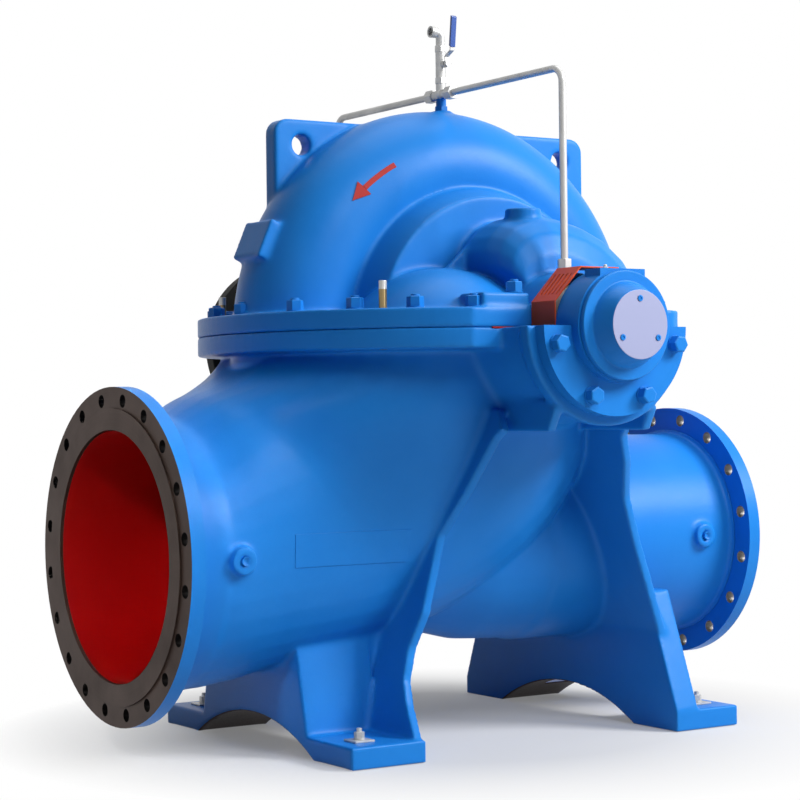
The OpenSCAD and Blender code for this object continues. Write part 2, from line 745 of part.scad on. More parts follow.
// Elbow: pipe bend over the valve, its open mouth turned to the suction side
elbow_z = valve_z + valve_h;
elbow_r = 10;
elbow_rise = 15;
elbow_bend = 14;
mouth_r = 12.5;
mouth_len = 12;
module vent_elbow() color(bare_steel) {
    translate([0, 0, elbow_z]) cylinder(r = elbow_r, h = elbow_rise);
    translate([-elbow_bend, 0, elbow_z + elbow_rise]) rotate([90, 0, 0])
        rotate_extrude(angle = 90) translate([elbow_bend, 0]) circle(r = elbow_r);
    translate([-elbow_bend - mouth_len, 0, elbow_z + elbow_rise + elbow_bend])
        rotate([0, 90, 0]) difference() {
            cylinder(r = mouth_r, h = mouth_len);
            translate([0, 0, -1]) cylinder(r = mouth_r - 4, h = mouth_len - 1);
        }
}

nut_h = 24;
module flush_pipe() {
    bar_y(pipe_d / 2, -drop_y + bend_r, -arm, z = flush_z);
    translate([0, -drop_y + bend_r, flush_z - bend_r]) rotate([0, -90, 0]) rotate([0, 0, -90])
        rotate_extrude(angle = 90) translate([bend_r, 0]) circle(d = pipe_d);
    translate([0, -drop_y, seal_top_z + nut_h])
        cylinder(d = pipe_d, h = flush_z - bend_r - seal_top_z - nut_h);
}
module flush_pipe_front() color(bare_steel) flush_pipe();
module flush_pipe_rear() color(bare_steel) mirror([0, 1, 0]) flush_pipe();

module pipe_nut(h) {
    difference() {
        cylinder(r = 15, h = h, $fn = 6);
        translate([0, 0, -1]) cylinder(d = pipe_d + 2 * fit_gap, h = h + 2);
    }
}
module cross_nuts() color(bare_steel) both_ends() {
    translate([0, -arm - 0.5, flush_z]) rotate([90, 0, 0]) pipe_nut(nut_h);
}
module seal_nuts() color(bare_steel) both_ends() {
    translate([0, -drop_y, seal_top_z]) cylinder(r = 15, h = nut_h, $fn = 6);
}

plug_out = 4;
module gauge_plug(x, z, neck_d) {
    bar_y(gauge_hole_r - fit_gap, -neck_d / 2 - gauge_boss_out - plug_out,
        -neck_d / 2 + gauge_hole_depth, x = x, z = z);
}
module suction_gauge_plug() color(casing_blue) gauge_plug(suction_gauge_x, suction_z, suction_neck_d);
module discharge_gauge_plug() color(casing_blue) gauge_plug(discharge_gauge_x, discharge_z, discharge_neck_d);

lower_casing();
upper_casing();
dowel_pins();
bearing_housing_front();
bearing_housing_rear();
bearing_cover_front();
bearing_cover_rear();
end_plate();
gland_front();
gland_rear();
shaft();
coupling_hub();
seal_guard_front();
seal_guard_rear();
vent_nipple();
pipe_cross();
ball_valve();
valve_lever();
lever_grip();
vent_elbow();
flush_pipe_front();
flush_pipe_rear();
cross_nuts();
seal_nuts();
suction_gauge_plug();
discharge_gauge_plug();
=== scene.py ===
# %% [markdown]
# # A horizontal split case pump
# The pump is an iron casting in two halves, bolted together at the height of its shaft. The CAD model
# fixes every size, and this lesson dresses it: the two castings get the soft hollows and slightly
# rounded edges of real cast iron, machined pieces get small bevels, and fasteners and finishes are
# added. Everything is in metres, with the suction flange at -X and the coupling at +Y.

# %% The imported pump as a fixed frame
import math

import bmesh
import bpy
import numpy as np
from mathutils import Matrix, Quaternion, Vector


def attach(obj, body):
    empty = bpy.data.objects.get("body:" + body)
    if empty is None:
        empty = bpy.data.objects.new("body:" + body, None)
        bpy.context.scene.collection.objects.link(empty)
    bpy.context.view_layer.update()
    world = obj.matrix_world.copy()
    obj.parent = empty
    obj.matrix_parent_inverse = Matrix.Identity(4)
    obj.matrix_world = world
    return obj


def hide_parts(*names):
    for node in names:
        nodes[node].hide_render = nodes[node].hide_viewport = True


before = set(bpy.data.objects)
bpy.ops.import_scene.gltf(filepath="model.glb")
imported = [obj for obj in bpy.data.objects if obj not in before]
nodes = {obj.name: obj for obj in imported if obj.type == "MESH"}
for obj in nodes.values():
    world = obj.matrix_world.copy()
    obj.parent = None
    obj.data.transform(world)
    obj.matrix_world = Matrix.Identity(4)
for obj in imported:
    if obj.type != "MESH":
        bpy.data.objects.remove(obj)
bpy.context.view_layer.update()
scene = bpy.context.scene
print("solids in the frame:", len(nodes))

# %% [markdown]
# The photograph was taken from in front of the free end, a little to the suction side, at about the
# height of the pump's middle. Two flanges of known size gave the camera's place, its turn and its
# lens, so the render lies over the photograph without any shift of the picture.

# %% Camera
VIEW_AZIMUTH, VIEW_ELEVATION, VIEW_ROLL = math.radians(-32.89), math.radians(-0.22), math.radians(-0.70)
camera = bpy.data.objects.new("photo_camera", bpy.data.cameras.new("photo_camera"))
CAMERA_PLACE, SENSOR_WIDTH, LENS = (-2.5816, -3.8134, 0.6859), 36, 95.454
camera.data.sensor_width, camera.data.lens = SENSOR_WIDTH, LENS
camera.data.clip_end = 100
backward = Vector((math.sin(VIEW_AZIMUTH) * math.cos(VIEW_ELEVATION),
                   -math.cos(VIEW_AZIMUTH) * math.cos(VIEW_ELEVATION), math.sin(VIEW_ELEVATION)))
turn = (-backward).to_track_quat("-Z", "Y") @ Quaternion((0, 0, 1), VIEW_ROLL)
camera.location, camera.rotation_euler = CAMERA_PLACE, turn.to_euler()
scene.collection.objects.link(camera)
scene.camera = camera
scene.view_settings.view_transform = "Standard"
print("camera stands at", tuple(round(v, 3) for v in camera.location))

# %% [markdown]
# Operators act on whatever is selected, and the import leaves all CAD solids selected. These helpers
# pick one object, apply its modifiers, open it for editing and choose faces by a test, the way it is
# done by hand with the mouse.


# %% Helpers for modelling
def pick(*pieces):
    if bpy.context.view_layer.objects.active and bpy.context.mode != "OBJECT":
        bpy.ops.object.mode_set(mode="OBJECT")
    bpy.ops.object.select_all(action="DESELECT")
    for piece in pieces:
        piece.select_set(True)
    bpy.context.view_layer.objects.active = pieces[0]


def apply_modifiers(piece):
    pick(piece)
    for modifier in list(piece.modifiers):
        bpy.ops.object.modifier_apply(modifier=modifier.name)


def settle(piece):
    pick(piece)
    bpy.ops.object.transform_apply(location=True, rotation=True, scale=True)


def open_mesh(piece):
    pick(piece)
    bpy.ops.object.mode_set(mode="EDIT")
    bpy.ops.mesh.select_mode(type="FACE")
    bpy.ops.mesh.select_all(action="SELECT")


def close_mesh():
    bpy.ops.object.mode_set(mode="OBJECT")


def choose_faces(piece, test):
    bpy.ops.mesh.select_all(action="DESELECT")
    mesh = bmesh.from_edit_mesh(piece.data)
    for face in mesh.faces:
        face.select_set(test(face.calc_center_median(), face.normal))
    bmesh.update_edit_mesh(piece.data)


def soft_edges(piece, width, steps=2, angle=35):
    bevel = piece.modifiers.new("edges", "BEVEL")
    bevel.width, bevel.segments, bevel.limit_method = width, steps, "ANGLE"
    bevel.angle_limit = math.radians(angle)
    bevel.use_clamp_overlap = True
    apply_modifiers(piece)
    bpy.ops.object.shade_smooth_by_angle(angle=math.radians(angle))
    flat = piece.modifiers.new("flat", "WEIGHTED_NORMAL")
    flat.keep_sharp = True
    apply_modifiers(piece)


def copy_solid(node, name):
    piece = bpy.data.objects.new(name, nodes[node].data.copy())
    scene.collection.objects.link(piece)
    piece.data.materials.clear()
    pick(piece)
    bpy.ops.mesh.customdata_custom_splitnormals_clear()
    open_mesh(piece)
    bpy.ops.mesh.remove_doubles(threshold=0.00001)
    close_mesh()
    return piece


print("helpers ready")

# %% [markdown]
# Every finish on the pump is built from a few effects. Sand leaves a fine grain on cast iron that
# shows through the paint, and the paint itself is a little uneven. A lathe leaves fine rings on a
# turned face. Each effect is a node group, placed in the materials with their own values.


# %% Shader groups
def start_group(name, inputs, outputs):
    group = bpy.data.node_groups.new(name, "ShaderNodeTree")
    for label, kind, value in inputs:
        group.interface.new_socket(label, in_out="INPUT", socket_type=kind).default_value = value
    for label, kind in outputs:
        group.interface.new_socket(label, in_out="OUTPUT", socket_type=kind)
    return group, group.nodes.new("NodeGroupInput"), group.nodes.new("NodeGroupOutput")


def add(tree, kind, settings=None, **values):
    node = tree.nodes.new(kind)
    for key, value in (settings or {}).items():
        setattr(node, key, value)
    for key, value in values.items():
        node.inputs[key.replace("_", " ")].default_value = value
    return node


def noise(tree, place, scale, detail=3.0, rough=0.5):
    node = add(tree, "ShaderNodeTexNoise", Detail=detail, Roughness=rough)
    tree.links.new(place, node.inputs["Vector"])
    if isinstance(scale, (int, float)):
        node.inputs["Scale"].default_value = scale
    else:
        tree.links.new(scale, node.inputs["Scale"])
    return node.outputs["Fac"]


def remap(tree, value, low, high, to_low, to_high):
    node = add(tree, "ShaderNodeMapRange", From_Min=low, From_Max=high, To_Min=to_low, To_Max=to_high)
    tree.links.new(value, node.inputs["Value"])
    return node.outputs["Result"]


def blend_colours(tree, factor, first, second):
    node = add(tree, "ShaderNodeMix", {"data_type": "RGBA"})
    tree.links.new(factor, node.inputs[0])
    for socket, colour in ((node.inputs[6], first), (node.inputs[7], second)):
        if isinstance(colour, tuple):
            socket.default_value = colour
        else:
            tree.links.new(colour, socket)
    return node.outputs[2]


def math_node(tree, kind, first, second):
    node = add(tree, "ShaderNodeMath", {"operation": kind})
    for socket, value in zip(node.inputs, (first, second)):
        if isinstance(value, (int, float)):
            socket.default_value = value
        else:
            tree.links.new(value, socket)
    return node.outputs[0]


COLOUR, VALUE = "NodeSocketColor", "NodeSocketFloat"
cast_skin, given, result = start_group(
    "cast_skin",
    [("Colour", COLOUR, (0.1, 0.1, 0.1, 1)), ("Thin Colour", COLOUR, (0.1, 0.1, 0.1, 1)),
     ("Grain", VALUE, 260.0), ("Low Gloss", VALUE, 0.5), ("High Gloss", VALUE, 0.3)],
    [("Color", COLOUR), ("Roughness", VALUE), ("Height", VALUE)])
place = add(cast_skin, "ShaderNodeTexCoord").outputs["Object"]
broad = noise(cast_skin, place, 7.0, 4.0, 0.6)
fine = noise(cast_skin, place, given.outputs["Grain"], 4.0, 0.65)
waves = noise(cast_skin, place, 38.0, 2.0, 0.4)
spread = remap(cast_skin, broad, 0.3, 0.7, 0.0, 1.0)
cast_skin.links.new(blend_colours(cast_skin, spread, given.outputs["Colour"], given.outputs["Thin Colour"]),
                    result.inputs["Color"])
gloss = add(cast_skin, "ShaderNodeMapRange", From_Min=0.3, From_Max=0.7)
cast_skin.links.new(fine, gloss.inputs["Value"])
cast_skin.links.new(given.outputs["High Gloss"], gloss.inputs["To Min"])
cast_skin.links.new(given.outputs["Low Gloss"], gloss.inputs["To Max"])
cast_skin.links.new(gloss.outputs["Result"], result.inputs["Roughness"])
cast_skin.links.new(math_node(cast_skin, "ADD", fine, math_node(cast_skin, "MULTIPLY", waves, 2.2)),
                    result.inputs["Height"])

lathe_rings, given, result = start_group(
    "lathe_rings",
    [("Place", "NodeSocketVector", (0, 0, 0)), ("Pitch", VALUE, 900.0),
     ("Colour", COLOUR, (0.1, 0.1, 0.1, 1)), ("Dull Colour", COLOUR, (0.1, 0.1, 0.1, 1))],
    [("Color", COLOUR), ("Roughness", VALUE), ("Height", VALUE)])
length = add(lathe_rings, "ShaderNodeVectorMath", {"operation": "LENGTH"})
lathe_rings.links.new(given.outputs["Place"], length.inputs[0])
radius = length.outputs["Value"]
wobble = noise(lathe_rings, given.outputs["Place"], 9.0, 3.0, 0.6)
along = math_node(lathe_rings, "MULTIPLY", radius, given.outputs["Pitch"])
rings = noise(lathe_rings, along, 1.0, 2.0, 0.6)
tone = math_node(lathe_rings, "ADD", math_node(lathe_rings, "MULTIPLY", rings, 0.4),
                 math_node(lathe_rings, "MULTIPLY", wobble, 0.6))
mixed = blend_colours(lathe_rings, remap(lathe_rings, tone, 0.35, 0.65, 0.0, 1.0),
                      given.outputs["Colour"], given.outputs["Dull Colour"])
lathe_rings.links.new(mixed, result.inputs["Color"])
lathe_rings.links.new(remap(lathe_rings, tone, 0.35, 0.65, 0.34, 0.52), result.inputs["Roughness"])
lathe_rings.links.new(rings, result.inputs["Height"])
print("groups:", [group.name for group in bpy.data.node_groups])

# %% [markdown]
# The paint is a satin blue enamel sprayed over primer. Its highlights are broad and soft, so the
# roughness is middling, and the grain is only a hint. The same recipe with other colours makes the red
# paint in the water passages, the orange guards and the black coupling.


# %% Painted finishes
def painted(name, colour, thin, grain=260.0, low=0.44, high=0.32, bump=0.14, shine=0.15):
    material = bpy.data.materials.new(name)
    material.use_nodes = True
    tree = material.node_tree
    shader = tree.nodes["Principled BSDF"]
    skin = add(tree, "ShaderNodeGroup", {"node_tree": cast_skin}, Colour=(*colour, 1), Thin_Colour=(*thin, 1),
               Grain=grain, Low_Gloss=low, High_Gloss=high)
    relief = add(tree, "ShaderNodeBump", Strength=bump, Distance=0.001)
    tree.links.new(skin.outputs["Color"], shader.inputs["Base Color"])
    tree.links.new(skin.outputs["Roughness"], shader.inputs["Roughness"])
    tree.links.new(skin.outputs["Height"], relief.inputs["Height"])
    tree.links.new(relief.outputs["Normal"], shader.inputs["Normal"])
    shader.inputs["Specular IOR Level"].default_value = shine
    return material


BLUE, THIN_BLUE = (0.009, 0.186, 0.60), (0.013, 0.204, 0.63)
blue_enamel = painted("blue_enamel", BLUE, THIN_BLUE)
blue_smooth = painted("blue_enamel_on_machined", BLUE, THIN_BLUE, grain=420.0, low=0.42, high=0.32, bump=0.05)
passage_red = painted("passage_red", (0.36, 0.0012, 0.001), (0.42, 0.0025, 0.002), bump=0.1, low=0.6,
                      high=0.45, shine=0.1)
guard_orange = painted("guard_orange", (0.68, 0.078, 0.020), (0.72, 0.090, 0.025), grain=600.0, low=0.42,
                       high=0.32, bump=0.04)
arrow_red = painted("arrow_red", (0.36, 0.012, 0.010), (0.42, 0.018, 0.012), low=0.45, high=0.32)
coupling_black = painted("coupling_black", (0.003, 0.003, 0.003), (0.005, 0.005, 0.005), low=0.6, high=0.45,
                         shine=0.1)
grip_vinyl = painted("grip_vinyl", (0.030, 0.085, 0.33), (0.040, 0.100, 0.36), grain=500.0, low=0.30,
                     high=0.20, bump=0.05, shine=0.5)
print("painted finishes ready")

# %% [markdown]
# The flange faces are turned on a lathe and left bare. The iron has darkened to a grey brown, with fine
# rings round the bore. The shaft and the pipes are bright steel with a drawn or ground look, and the pins
# are dull brass.


# %% Bare metal finishes
def turned_metal(name, colour, dull, centre, flatten, pitch=900.0, metal=0.85, bump=0.06, shine=0.5):
    material = bpy.data.materials.new(name)
    material.use_nodes = True
    tree = material.node_tree
    shader = tree.nodes["Principled BSDF"]
    shader.inputs["Metallic"].default_value = metal
    shader.inputs["Specular IOR Level"].default_value = shine
    mapping = add(tree, "ShaderNodeMapping", {"vector_type": "TEXTURE"}, Location=centre)
    flat = add(tree, "ShaderNodeVectorMath", {"operation": "MULTIPLY"})
    flat.inputs[1].default_value = flatten
    rings = add(tree, "ShaderNodeGroup", {"node_tree": lathe_rings}, Pitch=pitch, Colour=(*colour, 1),
                Dull_Colour=(*dull, 1))
    relief = add(tree, "ShaderNodeBump", Strength=bump, Distance=0.0004)
    tree.links.new(add(tree, "ShaderNodeTexCoord").outputs["Object"], mapping.inputs["Vector"])
    tree.links.new(mapping.outputs["Vector"], flat.inputs[0])
    tree.links.new(flat.outputs["Vector"], rings.inputs["Place"])
    tree.links.new(rings.outputs["Color"], shader.inputs["Base Color"])
    tree.links.new(rings.outputs["Roughness"], shader.inputs["Roughness"])
    tree.links.new(rings.outputs["Height"], relief.inputs["Height"])
    tree.links.new(relief.outputs["Normal"], shader.inputs["Normal"])
    return material


SHAFT_HEIGHT, SUCTION_HEIGHT, DISCHARGE_HEIGHT = 0.840, 0.400, 0.396
ACROSS_X, ALONG_X, ALONG_Y, ALONG_Z, EVERY_WAY = (0, 1, 1), (1, 0, 0), (0, 1, 0), (0, 0, 1), (1, 1, 1)
IRON, DULL_IRON = (0.068, 0.043, 0.034), (0.046, 0.031, 0.026)
suction_iron = turned_metal("suction_face_iron", IRON, DULL_IRON, (0, 0, SUCTION_HEIGHT), ACROSS_X,
                            metal=0.15, shine=0.08)
discharge_iron = turned_metal("discharge_face_iron", IRON, DULL_IRON, (0, 0, DISCHARGE_HEIGHT), ACROSS_X,
                              metal=0.15, shine=0.08)
shaft_steel = turned_metal("shaft_steel", (0.62, 0.60, 0.56), (0.50, 0.49, 0.46), (0, 0, SHAFT_HEIGHT),
                           ALONG_Y)
plate_silver = turned_metal("plate_silver", (0.31, 0.335, 0.52), (0.28, 0.305, 0.48), (0, 0, SHAFT_HEIGHT),
                            ALONG_Z, pitch=2600.0, metal=0.25, bump=0.03)
drilled_iron = turned_metal("drilled_iron", (0.30, 0.29, 0.28), (0.22, 0.21, 0.20), (0, 0, SUCTION_HEIGHT),
                            ALONG_X, pitch=1500.0, metal=0.6)
# near-black hole walls for the suction side: painted shade deep in the holes, not a colour of the iron
painted_shade_holes = turned_metal("painted_shade_holes", (0.016, 0.014, 0.013), (0.010, 0.009, 0.009), (0, 0, SUCTION_HEIGHT),
                          ALONG_X, pitch=1500.0, metal=0.2, shine=0.1)
pipe_steel = turned_metal("pipe_steel", (0.58, 0.58, 0.57), (0.48, 0.48, 0.47), (0, 0, 0.9), EVERY_WAY,
                          pitch=60.0, metal=0.45)
pin_brass = turned_metal("pin_brass", (0.30, 0.22, 0.10), (0.22, 0.16, 0.08), (0, 0, 0.88), ALONG_Z,
                         pitch=700.0)
print("bare finishes ready")

# %% [markdown]
# The two halves of the casing are sand castings: inner corners are filled with a generous radius, outer
# edges are slightly worn by the mould, and large forms flow into each other. A copy of each CAD solid is
# wrapped in a skin of small voxels. Smoothing then works everywhere except on the outer edges, which a
# vertex group protects, so that hollows fill up while the edges stay.


# %% Cast skin on the two halves
EDGE_START, EDGE_FADE, EDGE_FLOOR, WEIGHT_STEPS = 0.13, 0.07, 0.12, 8


def soft_group(casting, voxel):
    mesh = casting.data
    count = len(mesh.vertices)
    points, normals = np.empty(count * 3), np.empty(count * 3)
    mesh.vertices.foreach_get("co", points)
    mesh.vertices.foreach_get("normal", normals)
    points, normals = points.reshape(-1, 3), normals.reshape(-1, 3)
    ends = np.empty(len(mesh.edges) * 2, np.int64)
    mesh.edges.foreach_get("vertices", ends)
    ends = ends.reshape(-1, 2)
    both = np.vstack([ends, ends[:, ::-1]])
    around = np.bincount(both[:, 0], minlength=count)
    total = np.stack([np.bincount(both[:, 0], points[both[:, 1], k], count) for k in range(3)], 1)
    mean = total / around[:, None]
    outward = ((points - mean) * normals).sum(1) / voxel
    weight = np.clip((EDGE_START - outward) / EDGE_FADE, EDGE_FLOOR, 1)
    for _ in range(2):
        near = weight.copy()
        np.minimum.at(near, both[:, 0], weight[both[:, 1]])
        weight = near
    group = casting.vertex_groups.get("soft") or casting.vertex_groups.new(name="soft")
    steps = np.round(weight * WEIGHT_STEPS).astype(int)
    for step in range(WEIGHT_STEPS + 1):
        group.add(np.nonzero(steps == step)[0].tolist(), step / WEIGHT_STEPS, "REPLACE")


def cast_copy(node, name, voxel, rounds, *extras):
    casting = copy_solid(node, name)
    if extras:
        casting = joined(name, casting, *extras)
    skin = casting.modifiers.new("skin", "REMESH")
    skin.mode, skin.voxel_size = "VOXEL", voxel
    calm = casting.modifiers.new("calm", "SMOOTH")
    calm.factor, calm.iterations = 0.5, 3
    apply_modifiers(casting)
    for _ in range(rounds):
        soft_group(casting, voxel)
        fill = casting.modifiers.new("fill", "SMOOTH")
        fill.factor, fill.iterations, fill.vertex_group = 0.5, 14, "soft"
        apply_modifiers(casting)
    casting.vertex_groups.clear()
    return casting


def thin_out(piece, triangles):
    piece.data.calc_loop_triangles()
    share = triangles / len(piece.data.loop_triangles)
    if share < 1:
        thin = piece.modifiers.new("thin", "DECIMATE")
        thin.ratio = share
        apply_modifiers(piece)
    pick(piece)
    bpy.ops.object.shade_smooth()


def joined(name, *parts):
    pick(*parts)
    bpy.ops.object.join()
    parts[0].name = parts[0].data.name = name
    return parts[0]


print("casting helpers ready")

# %% [markdown]
# Between the suction post and the rib the photograph shows no gap, while the solids leave a narrow slit. A
# wedge fills it: a cube at the slit's size, with its lower face drawn in. It joins the lower half before
# that gets its skin, so the skin flows over both. The voxels are a few millimetres wide.

# %% Foot web and the two castings
POST_X, RIB_X, WEB_LOW, WEB_HIGH, WEB_HALF = -0.330, -0.262, 0.045, 0.240, 0.178
bpy.ops.mesh.primitive_cube_add(size=1, location=((POST_X + RIB_X) / 2, 0, (WEB_LOW + WEB_HIGH) / 2))
foot_web = bpy.context.object
foot_web.scale = (RIB_X - POST_X, 2 * WEB_HALF, WEB_HIGH - WEB_LOW)
settle(foot_web)
open_mesh(foot_web)
choose_faces(foot_web, lambda middle, normal: normal.z < -0.9)
bpy.ops.transform.resize(value=(0.2, 1, 1), center_override=(POST_X, 0, WEB_LOW))
close_mesh()

lower_casting = cast_copy("lower_casing", "lower_casting", 0.0034, 3, foot_web)
upper_casting = cast_copy("upper_casing", "upper_casting", 0.0036, 2)
print("skin faces:", len(lower_casting.data.polygons), len(upper_casting.data.polygons))

# %% [markdown]
# The nozzle flanges are machined, so their rims, faces and bolt holes are crisp. They are cut from a
# second copy of the solid, just in front of the neck, and the same cut takes the soft flanges off the
# casting. Bridging the two rings of edges at each cut closes both pieces. The skins are thinned before
# the cut, so that the thinning can't move its rings.

# %% Nozzle flanges
SUCTION_CUT, DISCHARGE_CUT = -0.760, 0.620


def cut_off(piece, x, towards):
    open_mesh(piece)
    bpy.ops.mesh.bisect(plane_co=(x, 0, 0), plane_no=(towards, 0, 0), clear_inner=True, threshold=0.00001)
    bpy.ops.mesh.select_mode(type="EDGE")
    bpy.ops.mesh.bridge_edge_loops()
    close_mesh()


thin_out(lower_casting, 210000)
thin_out(upper_casting, 120000)
cut_off(lower_casting, SUCTION_CUT, 1)
cut_off(lower_casting, DISCHARGE_CUT, -1)


def crisp_flange(name, x, towards):
    flange = copy_solid("lower_casing", name)
    cut_off(flange, x, towards)
    open_mesh(flange)
    bpy.ops.mesh.dissolve_limited(angle_limit=math.radians(0.5))
    close_mesh()
    soft_edges(flange, 0.0016, 2, 40)
    return flange


suction_flange = crisp_flange("suction_flange", SUCTION_CUT, -1)
discharge_flange = crisp_flange("discharge_flange", DISCHARGE_CUT, 1)
print("flange faces:", len(suction_flange.data.polygons), len(discharge_flange.data.polygons),
      "casting faces:", len(lower_casting.data.polygons))

# %% [markdown]
# The castings are blue, but the underside of the foot arches is a near-black red brown: the hue of primer,
# darkened as painted shade under the arch. The edge of that colour follows the arch, so the material itself
# finds it:
# every point nearer to the arch's axis than the arch's radius gets it. This gives a clean line that no face
# has to follow.

# %% Casing paint with primer and painted shade under the arches
ARCH_AXIS_HEIGHT, ARCH_RADIUS = -0.39307, 0.46107
casing_blue = painted("casing_blue", BLUE, THIN_BLUE)
tree = casing_blue.node_tree
apart = add(tree, "ShaderNodeSeparateXYZ")
tree.links.new(add(tree, "ShaderNodeTexCoord").outputs["Object"], apart.inputs[0])
rise = math_node(tree, "SUBTRACT", apart.outputs["Z"], ARCH_AXIS_HEIGHT)
square = math_node(tree, "ADD", math_node(tree, "MULTIPLY", rise, rise),
                   math_node(tree, "MULTIPLY", apart.outputs["Y"], apart.outputs["Y"]))
arch_primer_shade = remap(tree, math_node(tree, "SQRT", square, 0), ARCH_RADIUS + 0.002, ARCH_RADIUS + 0.003, 1.0, 0.0)
skin = next(node for node in tree.nodes if node.type == "GROUP")
# near-black red brown under the arches: primer hue, darkened as painted shade
tree.links.new(blend_colours(tree, arch_primer_shade, skin.outputs["Color"], (0.030, 0.010, 0.010, 1)),
               tree.nodes["Principled BSDF"].inputs["Base Color"])
print("casing paint ready")

# %% [markdown]
# On the flanges, paint follows the faces: the end face is bare turned iron, the walls of the drilled holes
# are bare too, and the rim is blue. On the suction side the hole walls are painted near black, as painted
# shade deep in the holes.


# %% Paint on the castings and flanges
def face_facts(piece):
    mesh = piece.data
    count = len(mesh.polygons)
    middle, normal = np.empty(count * 3), np.empty(count * 3)
    mesh.polygons.foreach_get("center", middle)
    mesh.polygons.foreach_get("normal", normal)
    return middle.reshape(-1, 3), normal.reshape(-1, 3)


def paint_faces(piece, *finishes):
    mesh = piece.data
    mesh.materials.clear()
    slots = np.zeros(len(mesh.polygons), np.int32)
    for number, (material, mask) in enumerate(finishes):
        mesh.materials.append(material)
        if mask is not None:
            slots[mask] = number
    mesh.polygons.foreach_set("material_index", slots)
    mesh.update()


def dress(piece, body, slot, *nodes_replaced):
    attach(piece, body)
    for node in nodes_replaced:
        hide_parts(node)


paint_faces(lower_casting, (casing_blue, None))
paint_faces(upper_casting, (blue_enamel, None))
# the suction holes get the painted-shade finish, the discharge holes bare drilled iron
for flange, side, z, circle, count, iron, holes in (
        (suction_flange, -1, SUCTION_HEIGHT, 0.310, 20, suction_iron, painted_shade_holes),
        (discharge_flange, 1, DISCHARGE_HEIGHT, 0.2575, 16, discharge_iron, drilled_iron)):
    middle, normal = face_facts(flange)
    radial = np.hypot(middle[:, 1], middle[:, 2] - z)
    turn = np.arctan2(middle[:, 2] - z, middle[:, 1]) * count / (2 * math.pi)
    nearest = (np.floor(turn) + 0.5) * 2 * math.pi / count
    from_hole = np.hypot(middle[:, 1] - circle * np.cos(nearest), middle[:, 2] - z - circle * np.sin(nearest))
    drilled = (from_hole < 0.0145) & (abs(normal[:, 0]) < 0.5)
    bore = (radial < circle - 0.013) & (abs(normal[:, 0]) < 0.5) & (abs(middle[:, 0]) > 0.630)
    turned = (normal[:, 0] * side > 0.3) | bore
    paint_faces(flange, (blue_smooth, None), (iron, turned), (holes, drilled))
dress(lower_casting, "casing", "casing_paint", "lower_casing")
dress(upper_casting, "casing", "casing_paint", "upper_casing")
dress(suction_flange, "casing", "casing_paint", "lower_casing")
dress(discharge_flange, "casing", "casing_paint", "lower_casing")
print("castings painted")

# %% [markdown]
# The water passages are painted red inside, up to a narrow bare rim at the flange. The coat is a thin cup
# of its own: half a sphere at the end of the bore, whose open edge is drawn out to the flange and
# widened there, with a wall that grows inwards.


# %% Red lining of the passages
FLARE_DEPTH, FLARE_WIDTH, COAT_THICKNESS = 0.012, 0.0040, 0.0015


def lining(name, end_x, towards, z, radius, mouth_x):
    bpy.ops.mesh.primitive_uv_sphere_add(segments=96, ring_count=48, radius=radius, location=(end_x, 0, z),
                                         rotation=(0, math.pi / 2, 0))
    cup = bpy.context.object
    cup.name = cup.data.name = name
    settle(cup)
    open_mesh(cup)
    bpy.ops.mesh.bisect(plane_co=(end_x, 0, 0), plane_no=(-towards, 0, 0), clear_inner=True, threshold=0.0001)
    bpy.ops.mesh.select_mode(type="EDGE")
    bpy.ops.mesh.select_all(action="DESELECT")
    bpy.ops.mesh.select_non_manifold()
    flare_x = mouth_x - towards * FLARE_DEPTH
    bpy.ops.mesh.extrude_region_move(TRANSFORM_OT_translate={"value": (flare_x - end_x, 0, 0)})
    bpy.ops.mesh.extrude_region_move(TRANSFORM_OT_translate={"value": (mouth_x - flare_x, 0, 0)})
    wider = 1 + FLARE_WIDTH / radius
    bpy.ops.transform.resize(value=(1, wider, wider), center_override=(mouth_x, 0, z))
    bpy.ops.mesh.select_all(action="SELECT")
    bpy.ops.mesh.normals_make_consistent(inside=False)
    close_mesh()
    wall = cup.modifiers.new("wall", "SOLIDIFY")
    wall.thickness, wall.offset = COAT_THICKNESS, -1
    apply_modifiers(cup)
    bpy.ops.object.shade_smooth_by_angle(angle=math.radians(40))
    paint_faces(cup, (passage_red, None))
    dress(cup, "casing", "casing_paint")


lining("suction_lining", -0.600, -1, SUCTION_HEIGHT, 0.2450, -0.788)
lining("discharge_lining", 0.240, 1, DISCHARGE_HEIGHT, 0.1950, 0.648)
print("passages lined")

# %% [markdown]
# The remaining solids already have their real shape. Each gets a copy whose flat faces are joined, so
# that a bevel finds only real edges, and a narrow bevel catches the light as a machined edge does.


# %% Machined and bent pieces
def machined(node, edge, finish, slot, body="casing", steps=2, angle=35):
    piece = copy_solid(node, node + "_finished")
    open_mesh(piece)
    bpy.ops.mesh.dissolve_limited(angle_limit=math.radians(0.5))
    close_mesh()
    soft_edges(piece, edge, steps, angle)
    paint_faces(piece, (finish, None))
    dress(piece, body, slot, node)
    return piece


